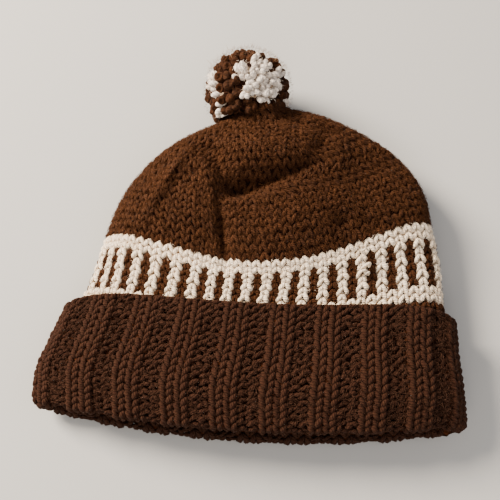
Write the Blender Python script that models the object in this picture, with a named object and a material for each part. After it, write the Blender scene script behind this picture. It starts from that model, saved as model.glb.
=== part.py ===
"""Knitted stocking cap with a turned-up ribbed cuff, a striped band and a pompom.

The cap lies on its back as it was laid down: the crown points along +Y, the opening faces -Y, and
the layer that faces the sky is called the front. It is a flattened tube of thick knitting. Its
rings are worked out from two short tables, one for the body and one for the cuff, and a third
table lists the dents and bulges pressed into the front of the crown. Sizes here are in
millimetres, and each mesh is turned to metres as it is made.
"""

import bpy
import bmesh
import math
import random
from collections import namedtuple

import numpy as np
from mathutils import Vector

METRE = 0.001

# Thickness of the knitting, and the gap that neighbouring pieces keep.
BODY_WALL = 3.5
CUFF_LAYER = 4.5
LAYER_GAP = 0.9
PIECE_GAP = 0.3
FLOOR = 0.0

# Ribbing: three knit columns stand up, two purl columns sink, all round the cuff.
RIB_REPEATS = 19
RIB_CREST = 0.7
RIB_VALLEY = -0.9
KNIT_SHARE = 0.6
RIB_BREAKS = (0.02, KNIT_SHARE - 0.02, KNIT_SHARE + 0.08, 0.92)
RIB_PHASE = 0.83

# Body of the cap. Each section is one row of knitting, counted from the top of the ribbing. Left
# and right stand near the fold lines where the flattened tube turns under, front_sag is how far
# the middle of the front row drops below the line between them, droop is how far the row hangs
# at the folds themselves, and top and under are heights.
Section = namedtuple("Section", "row left_x left_y right_x right_y front_sag back_sag droop top under")
BODY = (
    Section(0, -100.0, -40.2, 106.5, -30.5, -23.4, -10.4, 11.5, 30.0, 6.2),
    Section(6, -94.5, -16.8, 105.0, -1.5, -28.2, -11.6, 11.0, 31.0, 3.2),
    Section(11, -90.0, 6.5, 101.2, 24.7, -38.0, -14.5, 14.0, 35.5, 0.4),
    Section(15, -85.3, 19.2, 96.2, 39.6, -33.5, -13.0, 7.0, 40.0, -1.8),
    Section(20, -73.4, 35.0, 80.7, 53.7, -27.5, -12.0, 0.0, 43.0, -2.4),
    Section(26, -53.4, 56.0, 53.6, 69.8, -20.5, -10.0, 0.0, 43.0, -2.0),
    Section(32, -27.2, 70.6, 23.8, 78.8, -10.5, -6.0, 0.0, 39.0, 3.0),
    Section(35, -13.5, 78.5, 6.5, 81.3, -4.0, -3.0, 0.0, 34.5, 12.0),
    Section(37, -4.5, 82.0, -4.5, 82.0, 0.0, 0.0, 0.0, 26.0, 26.0),
)
BAND_ROWS = 11

# The turned-up cuff, from the fold at its foot, row 0, to its free edge, row 16.
CUFF = (
    Section(0, -118.0, -99.5, 116.5, -100.0, -9.5, -11.5, 0.0, 28.5, -0.5),
    Section(5, -117.6, -85.0, 115.0, -86.0, -6.0, -7.0, 0.0, 35.0, -0.8),
    Section(11, -111.2, -60.5, 112.9, -60.5, -6.0, -6.0, 3.5, 36.5, -0.8),
    Section(16, -106.5, -39.0, 112.4, -36.6, -9.0, -9.3, 10.0, 37.0, -0.5),
)
CUFF_ROWS = 16

# Fullness of a flattened ring: how square its left, right and under corners are.
LEFT_FULLNESS = 2.3
RIGHT_FULLNESS = 5.2
FRONT_ROUNDNESS = 2.1
UNDER_FULLNESS = 6.0
UNDER_ROUNDNESS = 2.6
MIDDLE_SHARE = 0.42

# Dents and bulges pressed into the front. Each is a soft oval: its middle, its turn in degrees
# from +X, its reach along and across, and how far it lifts the cloth.
Dent = namedtuple("Dent", "name x y turn along across lift")
DENTS = (
    Dent("pit", -12.5, 20.5, 20.0, 13.0, 6.5, -16.0),
    Dent("valley_to_the_right", 10.0, 28.0, 25.0, 20.0, 4.2, -8.0),
    Dent("valley_to_the_left", -25.5, 30.0, 125.0, 15.0, 5.0, -6.0),
    Dent("crease_down_to_the_band", -21.5, -7.0, 100.0, 19.0, 2.8, -6.0),
    Dent("bulge_left", -38.0, 8.0, 70.0, 24.0, 14.0, 5.0),
    Dent("ridge_left", -55.5, 22.0, 64.0, 34.0, 3.4, 6.0),
    Dent("dome_top", -2.0, 41.0, 8.0, 28.0, 11.0, 6.5),
    Dent("bulge_right", 24.0, 6.0, 30.0, 32.0, 20.0, 6.0),
    Dent("fall_to_the_right", 72.0, 46.0, 35.0, 40.0, 24.0, -10.0),
    Dent("crease_upper_right", 33.0, 52.0, 60.0, 12.0, 5.0, -4.0),
    Dent("crease_under_the_edge", 27.5, 63.0, -12.0, 20.0, 4.0, -4.0),
    Dent("dimple_right", 44.0, 2.5, 0.0, 4.5, 3.5, -3.0),
)

# Pompom: a head of trimmed yarn in locks, tied against the top of the crown. It is pressed round
# the crown's gathered end, which is a wedge: its middle height, and how far it has grown above
# and below that at a depth behind its edge.
POMPOM_CENTRE = (-12.0, 90.0, 27.0)
POMPOM_RADIUS = 27.5
POMPOM_HEAD = 20.5
POMPOM_GAP = 3.0
POMPOM_CRUSH = 0.022
CROWN_END_HEIGHT = 23.0
CROWN_END_DEPTH = 16.0
CROWN_END_ABOVE = 19.0
CROWN_END_ABOVE_CURVE = 2.2
CROWN_END_BELOW = 27.0
CROWN_END_BELOW_CURVE = 5.0
LOCK_UNEVENNESS = 1.3
LOCK_TAPER = 0.74
LOCK_TIP = 1.3
LOCK_LEAN = 0.05
TIE_CENTRE_X = -2.0
TIE_RADIUS = 2.5
TIE_THICKNESS = 1.5

# Shaping of the cuff's free edge and of its ribs where they run inside.
EDGE_ROUNDING = 1.2
FOOT_RECESS = 1.5
INNER_RIB_SHARE = 0.6
FOLD_TURNS = (40.0, 90.0, 140.0)
ROW_HEIGHT = 4.4

RAW_STEPS = 720


def table_column(table, name):
    """One column of a table of sections, as numbers."""
    return np.array([getattr(section, name) for section in table], dtype=float)


def section_at(table, row):
    """A section between the rows of a table, on smooth curves through every column."""
    rows = table_column(table, "row")
    row = min(max(row, rows[0]), rows[-1])
    k = min(int(np.searchsorted(rows, row, side="right")) - 1, len(rows) - 2)
    span = rows[k + 1] - rows[k]
    t = (row - rows[k]) / span
    values = {}
    for name in Section._fields[1:]:
        column = table_column(table, name)
        slopes = np.gradient(column, rows)
        a, b = column[k], column[k + 1]
        values[name] = (
            a * (1 + 2 * t) * (1 - t) ** 2
            + b * t * t * (3 - 2 * t)
            + slopes[k] * span * t * (1 - t) ** 2
            - slopes[k + 1] * span * t * t * (1 - t)
        )
    return Section(row, **values)


def relief(x, y):
    """How far the dents and bulges lift the front at a place."""
    lift = np.zeros_like(x)
    for dent in DENTS:
        turn = math.radians(dent.turn)
        along = ((x - dent.x) * math.cos(turn) + (y - dent.y) * math.sin(turn)) / dent.along
        across = ((y - dent.y) * math.cos(turn) - (x - dent.x) * math.sin(turn)) / dent.across
        lift += dent.lift * np.exp(-along * along - across * across)
    return lift


def ring(table, row, places, floor):
    """Points round one row of knitting, at even shares of its length from the left fold line."""
    s = section_at(table, row)
    angle = np.linspace(0.0, 2 * math.pi, RAW_STEPS + 1)
    front = angle <= math.pi
    fullness = np.where(np.cos(angle) > 0, LEFT_FULLNESS, RIGHT_FULLNESS)
    fullness = np.where(front, fullness, UNDER_FULLNESS)
    roundness = np.where(front, FRONT_ROUNDNESS, UNDER_ROUNDNESS)
    across = -np.sign(np.cos(angle)) * np.abs(np.cos(angle)) ** (2 / fullness)
    rise = np.abs(np.sin(angle)) ** (2 / roundness)
    share = (across + 1) / 2
    sag = np.where(front, s.front_sag, s.back_sag)
    x = s.left_x + (s.right_x - s.left_x) * share
    y = s.left_y + (s.right_y - s.left_y) * share + sag * (1 - across ** 2) - s.droop * across ** 6
    middle = s.under + (s.top - s.under) * MIDDLE_SHARE
    z = np.where(front, middle + (s.top - middle) * rise, middle - (middle - s.under) * rise)
    if table is BODY:
        height = (s.top - s.under) / (BODY[3].top - BODY[3].under)
        z = z + np.where(front, relief(x, y) * rise ** 2 * min(1.0, height), 0.0)
    z = np.maximum(z, floor)
    points = np.stack((x, y, z), axis=1)
    steps = np.linalg.norm(np.diff(points, axis=0), axis=1)
    length = np.concatenate(([0.0], np.cumsum(steps)))
    wanted = (np.asarray(places) % 1.0) * length[-1]
    return np.stack([np.interp(wanted, length, points[:, i]) for i in range(3)], axis=1)


def ring_and_normals(table, row, places, floor):
    """A ring with the outward direction at each of its points, and the way up the columns."""
    step_round = 0.004
    step_up = 0.3
    first, last = table[0].row, table[-1].row
    here = ring(table, row, places, floor)
    ahead = ring(table, row, places + step_round, floor)
    behind = ring(table, row, places - step_round, floor)
    above = ring(table, min(row + step_up, last), places, floor)
    below = ring(table, max(row - step_up, first), places, floor)
    up = above - below
    outward = np.cross(ahead - behind, up)
    outward /= np.linalg.norm(outward, axis=1, keepdims=True)
    up /= np.linalg.norm(up, axis=1, keepdims=True)
    return here, outward, up


def rib_places():
    """Where the columns of vertices stand round the cap: four to each repeat of the ribbing."""
    places = [(k + b + RIB_PHASE) / RIB_REPEATS for k in range(RIB_REPEATS) for b in RIB_BREAKS]
    return np.array(places)


def rib_heights():
    """Height of the ribbing at each place: knit columns stand proud, purl columns sink."""
    one_repeat = [RIB_CREST, RIB_CREST, RIB_VALLEY, RIB_VALLEY]
    return np.array(one_repeat * RIB_REPEATS)


def loft(name, rings, joined_end):
    """One closed body through rings of points: extruded ring by ring, then joined or capped."""
    bm = bmesh.new()
    count = len(rings[0])
    start = bmesh.ops.create_circle(bm, cap_ends=False, segments=count, radius=1.0)
    loop = start["verts"]
    edges = list(bm.edges)
    first_edges = list(edges)
    for vertex, point in zip(loop, rings[0]):
        vertex.co = Vector(point) * METRE
    for points in rings[1:]:
        grown = bmesh.ops.extrude_edge_only(bm, edges=edges)["geom"]
        edges = [item for item in grown if isinstance(item, bmesh.types.BMEdge)]
        new_loop = []
        for vertex in loop:
            rung = next(e for e in vertex.link_edges if e.other_vert(vertex) in grown)
            new_loop.append(rung.other_vert(vertex))
        for vertex, point in zip(new_loop, points):
            vertex.co = Vector(point) * METRE
        loop = new_loop
        edges = [e for e in edges if all(v in set(new_loop) for v in e.verts)]
    if joined_end:
        bmesh.ops.bridge_loops(bm, edges=first_edges + edges)
    else:
        bmesh.ops.holes_fill(bm, edges=first_edges, sides=count)
        bmesh.ops.holes_fill(bm, edges=edges, sides=count)
        caps = [face for face in bm.faces if len(face.verts) > 4]
        bmesh.ops.poke(bm, faces=caps)
    bmesh.ops.recalc_face_normals(bm, faces=bm.faces)
    return finish(name, bm)


def finish(name, bm):
    """Turn a bmesh into a named, smooth-shaded object."""
    mesh = bpy.data.meshes.new(name)
    bm.to_mesh(mesh)
    bm.free()
    mesh.shade_smooth()
    thing = bpy.data.objects.new(name, mesh)
    bpy.context.collection.objects.link(thing)
    return thing


def yarn(name, colour, roughness=0.95):
    """A matt yarn material."""
    material = bpy.data.materials.new(name)
    material.use_nodes = True
    surface = material.node_tree.nodes["Principled BSDF"]
    surface.inputs["Base Color"].default_value = (*colour, 1.0)
    surface.inputs["Roughness"].default_value = roughness
    surface.inputs["Metallic"].default_value = 0.0
    surface.inputs["Sheen Weight"].default_value = 0.3
    return material


def body_wall(row, places):
    """The outer and inner points of the body's wall at one row."""
    outer, outward, _ = ring_and_normals(BODY, row, places, FLOOR)
    return outer, outer - outward * BODY_WALL


def body_gap_in_rows():
    """The gap between two body pieces, as a share of a row of knitting."""
    return PIECE_GAP / ROW_HEIGHT


def make_crown(places):
    """The domed top: a hollow shell from the band to the gathered point under the pompom."""
    rim = BAND_ROWS + body_gap_in_rows()
    outer_rows = (36.5, 35.5, 34, 32, 29.5, 27, 24.5, 22, 19.5, 17, 14, rim)
    inner_rows = (rim, 14, 17, 19.5, 22, 24.5, 27, 29.5, 32, 33.5, 34.6)
    rings = [body_wall(row, places)[0] for row in outer_rows]
    rings += [body_wall(row, places)[1] for row in inner_rows]
    return loft("crown", rings, joined_end=False)


def make_band(places):
    """The striped band: a flattened tube between the ribbing and the crown."""
    rows = (body_gap_in_rows(), 4.0, 7.5, BAND_ROWS)
    rings = [body_wall(row, places)[0] for row in rows]
    rings += [body_wall(row, places)[1] for row in reversed(rows)]
    return loft("patterned_band", rings, joined_end=True)


def make_cuff(places):
    """The ribbing: it runs down from the band, folds at its foot and is turned up outside."""
    ribs = rib_heights()[:, None]
    floor = FLOOR + RIB_CREST
    fold_radius = (2 * CUFF_LAYER + LAYER_GAP) / 2
    whole = 2 * CUFF_LAYER + LAYER_GAP

    outside = []
    turned_in = []
    for row in (CUFF_ROWS, 13, 9, 5, 2, 0):
        face, outward, _ = ring_and_normals(CUFF, row, places, floor)
        outside.append(face + outward * ribs)
        turned_in.append(face - outward * CUFF_LAYER)

    face, outward, up = ring_and_normals(CUFF, CUFF_ROWS, places, floor)
    soft_edge = face + outward * (ribs - CUFF_LAYER) / 2 + up * EDGE_ROUNDING

    face, outward, up = ring_and_normals(CUFF, 0, places, floor)
    fold = []
    for turn in FOLD_TURNS:
        forward = math.cos(math.radians(turn))
        down = math.sin(math.radians(turn))
        fold.append(face - outward * fold_radius * (1 - forward) - up * fold_radius * down
                    + (outward * forward - up * down) * ribs)
    foot_inner = face - outward * (whole + ribs)
    foot_outer = face - outward * (CUFF_LAYER + LAYER_GAP) + up * FOOT_RECESS
    foot_turned = face - outward * CUFF_LAYER + up * FOOT_RECESS

    top_outer, top_outward, _ = ring_and_normals(BODY, 0, places, FLOOR)
    top_inner = top_outer - top_outward * (BODY_WALL + ribs * INNER_RIB_SHARE)
    inside = [foot_inner + (top_inner - foot_inner) * share for share in (0.0, 0.35, 0.7, 1.0)]
    between = [top_outer + (foot_outer - top_outer) * share for share in (0.0, 0.5, 1.0)]

    layers = [foot_turned] + list(reversed(turned_in))[1:]
    rings = [soft_edge] + outside + fold + inside + between + layers
    return loft("ribbed_cuff", rings, joined_end=True)


def crown_end(x, z):
    """How far back the crown's gathered end reaches, at a place across and a height."""
    fold_x = [section.left_x for section in BODY] + [section.right_x for section in BODY[::-1]]
    fold_y = [section.left_y for section in BODY] + [section.right_y for section in BODY[::-1]]
    above = max(z - CROWN_END_HEIGHT, 0.0) / CROWN_END_ABOVE
    below = max(CROWN_END_HEIGHT - z, 0.0) / CROWN_END_BELOW
    slope = above ** CROWN_END_ABOVE_CURVE + below ** CROWN_END_BELOW_CURVE
    return np.interp(x, fold_x, fold_y) - CROWN_END_DEPTH * slope


def make_pompom():
    """A trimmed yarn ball: every lock is drawn out of one head, so that it stays a single body."""
    dice = random.Random(7)
    bm = bmesh.new()
    bmesh.ops.create_icosphere(bm, subdivisions=3, radius=POMPOM_HEAD)
    bmesh.ops.bevel(bm, geom=list(bm.verts), offset=50.0, offset_type="PERCENT",
                    segments=1, profile=0.5, affect="VERTICES", material=-1)
    bmesh.ops.remove_doubles(bm, verts=bm.verts, dist=0.05)
    roots = [face for face in bm.faces if len(face.verts) > 3]
    locks = bmesh.ops.extrude_discrete_faces(bm, faces=roots)["faces"]
    for lock in locks:
        centre = lock.calc_center_median()
        length = POMPOM_RADIUS - LOCK_TIP + dice.uniform(-1.0, 0.6) * LOCK_UNEVENNESS
        lean = Vector((dice.gauss(0, 1), dice.gauss(0, 1), dice.gauss(0, 1))) * LOCK_LEAN
        tip = (centre.normalized() + lean).normalized() * length
        for vertex in lock.verts:
            spread = (vertex.co - centre) * (length / POMPOM_HEAD) * LOCK_TAPER
            vertex.co = tip + spread
    bmesh.ops.poke(bm, faces=locks, offset=LOCK_TIP, use_relative_offset=False)

    for vertex in bm.verts:
        vertex.co += Vector(POMPOM_CENTRE)
        nearest = crown_end(vertex.co.x, vertex.co.z) + POMPOM_GAP
        if vertex.co.y < nearest:
            vertex.co.y = nearest - POMPOM_CRUSH * (nearest - vertex.co.y)
        from_centre = (vertex.co - Vector(POMPOM_CENTRE)).length
        vertex.co.z = max(vertex.co.z, 0.2 + 0.02 * from_centre)
        vertex.co *= METRE
    bmesh.ops.recalc_face_normals(bm, faces=bm.faces)
    return finish("pompom", bm)


def make_tie():
    """The knot of yarn that holds the pompom to the gathered top, one plain bead."""
    bm = bmesh.new()
    bmesh.ops.create_uvsphere(bm, u_segments=12, v_segments=6, radius=1.0)
    apex = BODY[-1]
    centre = Vector((TIE_CENTRE_X, apex.left_y + PIECE_GAP + TIE_THICKNESS / 2, apex.top))
    for vertex in bm.verts:
        bead = Vector((vertex.co.x * TIE_RADIUS, vertex.co.z * TIE_THICKNESS / 2,
                       -vertex.co.y * TIE_RADIUS))
        vertex.co = (bead + centre) * METRE
    return finish("pompom_tie", bm)


def centre_on_floor(things):
    """Put the middle of the whole cap over the origin, with its lowest point on the floor."""
    corners = np.array([v.co for thing in things for v in thing.data.vertices])
    low, high = corners.min(axis=0), corners.max(axis=0)
    shift = Vector((-(low[0] + high[0]) / 2, -(low[1] + high[1]) / 2, -low[2]))
    for thing in things:
        for vertex in thing.data.vertices:
            vertex.co += shift
    return shift


def main():
    for old in list(bpy.data.objects):
        bpy.data.objects.remove(old, do_unlink=True)

    brown = yarn("brown_yarn", (0.058, 0.018, 0.007))
    rib_brown = yarn("brown_rib_yarn", (0.048, 0.015, 0.006))
    cream = yarn("cream_yarn", (0.70, 0.60, 0.46))
    two_tone = yarn("two_tone_pompom_yarn", (0.24, 0.16, 0.11))

    places = rib_places()
    pieces = (
        (make_crown(places), brown),
        (make_band(places), cream),
        (make_cuff(places), rib_brown),
        (make_pompom(), two_tone),
        (make_tie(), brown),
    )
    for thing, material in pieces:
        thing.data.materials.append(material)
    shift = centre_on_floor([thing for thing, _ in pieces])
    print("moved to the middle by", [round(value / METRE, 2) for value in shift], "mm")
    for thing, _ in pieces:
        print(thing.name, len(thing.data.polygons), "faces")


main()
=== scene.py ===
# %% [markdown]
# A knitted stocking cap, stitch by stitch
#
# The cap is knitted from thick worsted yarn: a turned-up ribbed cuff, a striped band, a plain
# crown and a pompom. Its large forms are already settled by the model that is loaded here. What
# makes knitting look like knitting is that its surface is yarn, so every visible stitch is made
# as real yarn, laid over the large form, and only the twist and the fibres are left to materials.

# %% Load the model and measure it
import math
from collections import namedtuple

import bmesh
import bpy
import numpy as np
from mathutils import Matrix, Vector


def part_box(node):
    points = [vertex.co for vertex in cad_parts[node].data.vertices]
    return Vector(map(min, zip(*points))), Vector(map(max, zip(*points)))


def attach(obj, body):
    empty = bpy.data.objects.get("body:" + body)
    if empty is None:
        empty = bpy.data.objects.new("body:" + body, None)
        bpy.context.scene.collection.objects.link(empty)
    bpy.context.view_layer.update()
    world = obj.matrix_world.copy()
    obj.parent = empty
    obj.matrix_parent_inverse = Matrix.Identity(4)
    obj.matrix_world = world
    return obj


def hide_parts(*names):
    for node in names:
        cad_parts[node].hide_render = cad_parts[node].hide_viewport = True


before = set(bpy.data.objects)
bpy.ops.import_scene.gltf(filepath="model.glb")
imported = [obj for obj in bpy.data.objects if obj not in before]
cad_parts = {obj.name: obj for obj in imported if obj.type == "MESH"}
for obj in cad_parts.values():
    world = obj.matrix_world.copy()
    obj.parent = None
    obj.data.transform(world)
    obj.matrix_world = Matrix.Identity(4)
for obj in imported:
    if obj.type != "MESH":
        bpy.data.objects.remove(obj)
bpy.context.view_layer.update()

MM = 0.001

# %% [markdown]
# Camera
#
# The cap is seen from almost straight above, from close by, with the phone turned a little. A
# camera 400 mm away and 20 degrees off the vertical gives the same perspective. Its axes are
# worked out as three vectors, so that the small roll is a plain mix of right and up.

# %% Make the camera
CAMERA_TARGET = Vector((-4.5, -10.0, 18.0)) * MM
CAMERA_DISTANCE = 400 * MM
CAMERA_TILT = math.radians(20.0)
CAMERA_ROLL = math.radians(3.3)
HALF_PICTURE = 250
FOCAL_PIXELS = 690

away = Vector((0.0, -math.sin(CAMERA_TILT), math.cos(CAMERA_TILT)))
level_right = Vector((1.0, 0.0, 0.0))
level_up = away.cross(level_right)
right = level_right * math.cos(CAMERA_ROLL) + level_up * math.sin(CAMERA_ROLL)
up = level_up * math.cos(CAMERA_ROLL) - level_right * math.sin(CAMERA_ROLL)

camera = bpy.data.objects.new("camera", bpy.data.cameras.new("camera"))
camera.data.sensor_fit = "HORIZONTAL"
camera.data.angle = 2 * math.atan(HALF_PICTURE / FOCAL_PIXELS)
camera.data.clip_start = 0.01
camera.matrix_world = Matrix.Translation(CAMERA_TARGET + away * CAMERA_DISTANCE) @ Matrix(
    (right, up, away)).transposed().to_4x4()
bpy.context.scene.collection.objects.link(camera)
bpy.context.scene.camera = camera
print("camera looks down at", round(90 - math.degrees(CAMERA_TILT)), "degrees")

# %% [markdown]
# Floor and light
#
# A plain pale floor and soft studio light, so that only the knitting has texture. The key light is
# a large panel behind the crown and to the left, because the cuff's front falls into shade there.
# Panels were chosen over a sun, whose hard shadows would break up every stitch.

# %% Helpers for colours, nodes and materials
def linear(code):
    """A colour written as sRGB hex, as the linear values that shaders use."""
    parts = [int(code[i:i + 2], 16) / 255 for i in (1, 3, 5)]
    return [c / 12.92 if c <= 0.04045 else ((c + 0.055) / 1.055) ** 2.4 for c in parts] + [1.0]


def plug(tree, node, inputs):
    """Fill inputs of a node: each with a value, or with the node or output linked to it."""
    for name, value in inputs.items():
        if isinstance(value, bpy.types.Node):
            value = value.outputs[0]
        if isinstance(value, bpy.types.NodeSocket):
            tree.links.new(value, node.inputs[name])
        else:
            node.inputs[name].default_value = value


def add(tree, kind, inputs=None, **settings):
    """A node with its settings and its inputs."""
    node = tree.nodes.new("ShaderNode" + kind)
    for name, value in settings.items():
        setattr(node, name, value)
    plug(tree, node, inputs or {})
    return node


def matt_material(name, roughness, specular):
    """A matt material, with its node tree and its Principled shader."""
    material = bpy.data.materials.new(name)
    material.use_nodes = True
    surface = material.node_tree.nodes["Principled BSDF"]
    plug(material.node_tree, surface, {"Roughness": roughness, "Specular IOR Level": specular})
    return material, material.node_tree, surface


def put_in_scene(name, contents):
    """An object for a mesh or a light."""
    thing = bpy.data.objects.new(name, contents)
    bpy.context.scene.collection.objects.link(thing)
    return thing


# %% Make the floor and the lights
FLOOR_SIZE = 6.0
FLOOR_DROP = 0.3 * MM
bm = bmesh.new()
bmesh.ops.create_grid(bm, x_segments=1, y_segments=1, size=FLOOR_SIZE / 2)
bmesh.ops.translate(bm, verts=bm.verts, vec=(0, 0, -FLOOR_DROP))
floor_mesh = bpy.data.meshes.new("floor")
bm.to_mesh(floor_mesh)
bm.free()
floor = put_in_scene("floor", floor_mesh)

paper, tree, surface = matt_material("pale_paper_sweep", 0.9, 0.1)
plug(tree, surface, {"Base Color": linear("#aeaca9")})
floor_mesh.materials.append(paper)

Panel = namedtuple("Panel", "name x y z width power colour")
PANELS = (
    Panel("key", -1.05, 0.52, 0.78, 0.60, 95.0, "#fff2e0"),
    Panel("fill", 0.80, -0.20, 1.00, 1.10, 3.2, "#f2f2ff"),
    Panel("front", -0.20, -1.10, 0.80, 1.00, 11.0, "#fff6ea"),
)
for panel in PANELS:
    light = bpy.data.lights.new(panel.name, "AREA")
    light.shape = "DISK"
    light.size = panel.width
    light.energy = panel.power
    light.color = linear(panel.colour)[:3]
    lamp = put_in_scene(panel.name, light)
    lamp.location = (panel.x, panel.y, panel.z)
    lamp.rotation_euler = (-lamp.location).to_track_quat("-Z", "Y").to_euler()

world = bpy.data.worlds.new("studio")
world.use_nodes = True
plug(world.node_tree, world.node_tree.nodes["Background"],
     {"Color": linear("#eceae8"), "Strength": 0.72})
bpy.context.scene.world = world
print(len(PANELS), "soft panels")

# %% [markdown]
# The surface that the stitches lie on
#
# A cap lying flat is a flattened tube. Each row of knitting is a ring, given by where the tube
# folds under at its left and right, how far the row sags between them, and how high it stands.
# The rows between those in the table are read from smooth curves. The tables repeat the model's
# own, in millimetres, and a last one holds the dents and bulges pressed into the front.

# %% Tables of the large form
Section = namedtuple("Section",
                     "row left_x left_y right_x right_y front_sag back_sag droop top under")
BODY = (
    Section(0, -100.0, -40.2, 106.5, -30.5, -23.4, -10.4, 11.5, 30.0, 6.2),
    Section(6, -94.5, -16.8, 105.0, -1.5, -28.2, -11.6, 11.0, 31.0, 3.2),
    Section(11, -90.0, 6.5, 101.2, 24.7, -38.0, -14.5, 14.0, 35.5, 0.4),
    Section(15, -85.3, 19.2, 96.2, 39.6, -33.5, -13.0, 7.0, 40.0, -1.8),
    Section(20, -73.4, 35.0, 80.7, 53.7, -27.5, -12.0, 0.0, 43.0, -2.4),
    Section(26, -53.4, 56.0, 53.6, 69.8, -20.5, -10.0, 0.0, 43.0, -2.0),
    Section(32, -27.2, 70.6, 23.8, 78.8, -10.5, -6.0, 0.0, 39.0, 3.0),
    Section(35, -13.5, 78.5, 6.5, 81.3, -4.0, -3.0, 0.0, 34.5, 12.0),
    Section(37, -4.5, 82.0, -4.5, 82.0, 0.0, 0.0, 0.0, 26.0, 26.0),
)
CUFF = (
    Section(0, -118.0, -99.5, 116.5, -100.0, -9.5, -11.5, 0.0, 28.5, -0.5),
    Section(5, -117.6, -85.0, 115.0, -86.0, -6.0, -7.0, 0.0, 35.0, -0.8),
    Section(11, -111.2, -60.5, 112.9, -60.5, -6.0, -6.0, 3.5, 36.5, -0.8),
    Section(16, -106.5, -39.0, 112.4, -36.6, -9.0, -9.3, 10.0, 37.0, -0.5),
)
Dent = namedtuple("Dent", "name x y turn along across lift")
DENTS = (
    Dent("pit", -12.5, 20.5, 20.0, 13.0, 6.5, -16.0),
    Dent("valley_to_the_right", 10.0, 28.0, 25.0, 20.0, 4.2, -8.0),
    Dent("valley_to_the_left", -25.5, 30.0, 125.0, 15.0, 5.0, -6.0),
    Dent("crease_down_to_the_band", -21.5, -7.0, 100.0, 19.0, 2.8, -6.0),
    Dent("bulge_left", -38.0, 8.0, 70.0, 24.0, 14.0, 5.0),
    Dent("ridge_left", -55.5, 22.0, 64.0, 34.0, 3.4, 6.0),
    Dent("dome_top", -2.0, 41.0, 8.0, 28.0, 11.0, 6.5),
    Dent("bulge_right", 24.0, 6.0, 30.0, 32.0, 20.0, 6.0),
    Dent("fall_to_the_right", 72.0, 46.0, 35.0, 40.0, 24.0, -10.0),
    Dent("crease_upper_right", 33.0, 52.0, 60.0, 12.0, 5.0, -4.0),
    Dent("crease_under_the_edge", 27.5, 63.0, -12.0, 20.0, 4.0, -4.0),
    Dent("dimple_right", 44.0, 2.5, 0.0, 4.5, 3.5, -3.0),
)
# Narrow folds, too fine for the model's own table.
WRINKLES = (
    Dent("tent_edge_left", -54.0, 27.5, 56.0, 22.0, 5.0, 3.6),
    Dent("left_of_the_tent", -64.0, 33.0, 50.0, 18.0, 4.5, -2.6),
    Dent("tent_edge_right", -36.0, 32.0, -42.0, 15.0, 3.2, 2.6),
    Dent("tent_side_right", -28.5, 41.0, -38.0, 17.0, 5.5, -5.0),
    Dent("pit_floor", -13.0, 20.0, 20.0, 12.0, 6.5, 4.5),
    Dent("beside_the_knot", 16.0, 73.0, 0.0, 9.0, 6.0, -6.0),
)
# The last stitches, drawn up on one thread, stand up as a small knot in front of the pompom.
KNOT = Dent("gathered_knot", -1.0, 73.5, 0.0, 6.0, 5.0, 11.0)
LEFT_FULLNESS = 2.3
RIGHT_FULLNESS = 5.2
FRONT_ROUNDNESS = 2.1
UNDER_FULLNESS = 6.0
UNDER_ROUNDNESS = 2.6
MIDDLE_SHARE = 0.42
RIB_CREST = 0.7
FULL_HEIGHT = BODY[3].top - BODY[3].under
CUFF_LAYER = 4.5
LAYER_GAP = 0.9
BODY_WALL = 3.5
FINE_STEPS = 1440
print(len(BODY), "body sections,", len(CUFF), "cuff sections,", len(DENTS), "dents")


# %% Rings worked out from the tables
def unit(vectors):
    """Vectors brought to length one; a tiny number keeps those of no length harmless."""
    return vectors / (np.linalg.norm(vectors, axis=-1, keepdims=True) + 1e-12)


def section_at(table, row):
    """A section between the rows of a table, on smooth curves through every column."""
    columns = np.array(table, dtype=float)
    rows = columns[:, 0]
    k = min(int(np.searchsorted(rows, row, side="right")) - 1, len(rows) - 2)
    span = rows[k + 1] - rows[k]
    t = (row - rows[k]) / span
    slopes = np.gradient(columns, rows, axis=0) * span
    mixed = (
        columns[k] * (1 + 2 * t) * (1 - t) ** 2
        + columns[k + 1] * t * t * (3 - 2 * t)
        + slopes[k] * t * (1 - t) ** 2
        - slopes[k + 1] * t * t * (1 - t)
    )
    return Section(*mixed)


def relief(x, y):
    """How far the dents and bulges lift the front at a place."""
    lift = np.zeros_like(x)
    for dent in (*DENTS, *WRINKLES, KNOT):
        turn = math.radians(dent.turn)
        along = ((x - dent.x) * math.cos(turn) + (y - dent.y) * math.sin(turn)) / dent.along
        across = ((y - dent.y) * math.cos(turn) - (x - dent.x) * math.sin(turn)) / dent.across
        lift += dent.lift * np.exp(-along * along - across * across)
    return lift


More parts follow.
